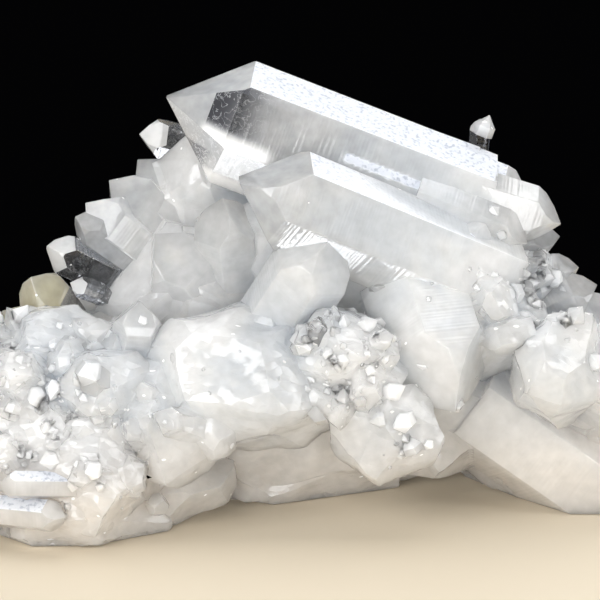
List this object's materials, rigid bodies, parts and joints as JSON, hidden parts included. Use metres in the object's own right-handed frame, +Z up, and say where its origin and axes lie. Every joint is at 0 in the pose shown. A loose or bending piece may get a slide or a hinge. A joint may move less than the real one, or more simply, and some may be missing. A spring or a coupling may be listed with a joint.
{
  "type": "quartz cluster",
  "caption": "Quartz cluster with a large clear prism leaning across smaller clear and milky crystals on a lumpy base cut flat below.",
  "frame": {"origin": "middle of the cluster's box, on the flat cut under its base", "axes": "+X along the large prism and away from its point, -Y towards the side that shows the large prism, +Z up"},
  "size_m": [0.1902, 0.1158, 0.1085],
  "materials": {
    "quartz": "clear to milky"
  },
  "bodies": {
    "root": {"quartz_cluster": "quartz"}
  },
  "joints": []
}
